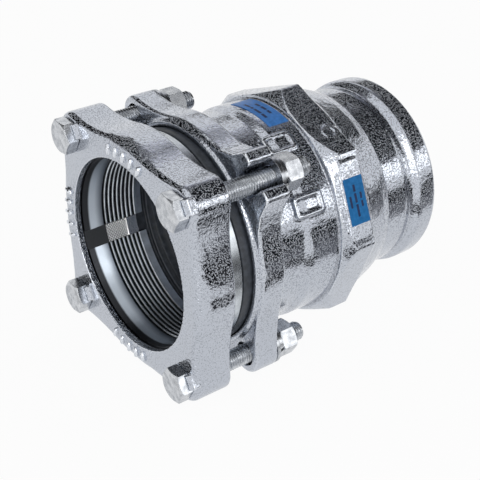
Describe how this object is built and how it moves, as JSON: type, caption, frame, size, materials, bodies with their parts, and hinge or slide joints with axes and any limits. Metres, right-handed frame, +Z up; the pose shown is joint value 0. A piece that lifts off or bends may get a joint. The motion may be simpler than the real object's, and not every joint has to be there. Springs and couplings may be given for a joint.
{
  "type": "flanged quick coupling",
  "caption": "Zinc plated cast coupling: a lobed gland flange with clamp ring and rubber seal grips a plain pipe, with an octagon collar and a threaded socket at the far end.",
  "frame": {"origin": "centre of the pipe entry's front face, on the gland flange", "axes": "+X along the pipe axis from the pipe entry to the threaded socket, +Z up, the bolts at equal distances from both; the picture looks from -X, -Y and above"},
  "size_m": [0.1975, 0.151, 0.151],
  "materials": {
    "plated_casting": "zinc plated over a fine sand-cast grain",
    "plated_fastener": "bright zinc plating",
    "turned_steel": "turned and zinc plated",
    "ring_metal": "satin zinc plating",
    "dark_plastic": "matt moulded plastic",
    "black_rubber": "moulded rubber, slight sheen",
    "label_film": "printed adhesive film"
  },
  "bodies": {
    "gland_group": {"gland_flange": "plated_casting", "clamp_ring": "ring_metal", "ring_spacer": "dark_plastic", "bridge_plate": "ring_metal", "thrust_ring": "turned_steel", "bolt_1": "plated_fastener", "bolt_2": "plated_fastener", "bolt_3": "plated_fastener", "bolt_4": "plated_fastener"},
    "body_group": {"body_casting": "plated_casting", "rubber_seal": "black_rubber", "barrel_label": "label_film", "collar_label": "label_film", "washer_1": "plated_fastener", "washer_2": "plated_fastener", "washer_3": "plated_fastener", "washer_4": "plated_fastener", "spring_washer_1": "plated_fastener", "spring_washer_2": "plated_fastener", "spring_washer_3": "plated_fastener", "spring_washer_4": "plated_fastener"},
    "nut_group_1": {"nut_1": "plated_fastener"},
    "nut_group_2": {"nut_2": "plated_fastener"},
    "nut_group_3": {"nut_3": "plated_fastener"},
    "nut_group_4": {"nut_4": "plated_fastener"}
  },
  "joints": [
    {"name": "gland_travel", "type": "slide", "parent": "body_group", "child": "gland_group", "axis": [1, 0, 0], "range_m": [0, 0.006], "deforming": ["rubber_seal"]},
    {"name": "nut_1_turn", "type": "hinge", "parent": "body_group", "child": "nut_group_1", "pos_m": [0.0711, -0.056, 0.056], "axis": [1, 0, 0], "range_deg": [-1240, 0]},
    {"name": "nut_2_turn", "type": "hinge", "parent": "body_group", "child": "nut_group_2", "pos_m": [0.0711, -0.056, -0.056], "axis": [1, 0, 0], "range_deg": [-1240, 0]},
    {"name": "nut_3_turn", "type": "hinge", "parent": "body_group", "child": "nut_group_3", "pos_m": [0.0711, 0.056, -0.056], "axis": [1, 0, 0], "range_deg": [-1240, 0]},
    {"name": "nut_4_turn", "type": "hinge", "parent": "body_group", "child": "nut_group_4", "pos_m": [0.0711, 0.056, 0.056], "axis": [1, 0, 0], "range_deg": [-1240, 0]}
  ],
  "couplings": [
    {"joint": "nut_1_turn", "follows": "gland_travel", "rad_per_m": -3590.4},
    {"joint": "nut_2_turn", "follows": "gland_travel", "rad_per_m": -3590.4},
    {"joint": "nut_3_turn", "follows": "gland_travel", "rad_per_m": -3590.4},
    {"joint": "nut_4_turn", "follows": "gland_travel", "rad_per_m": -3590.4}
  ]
}
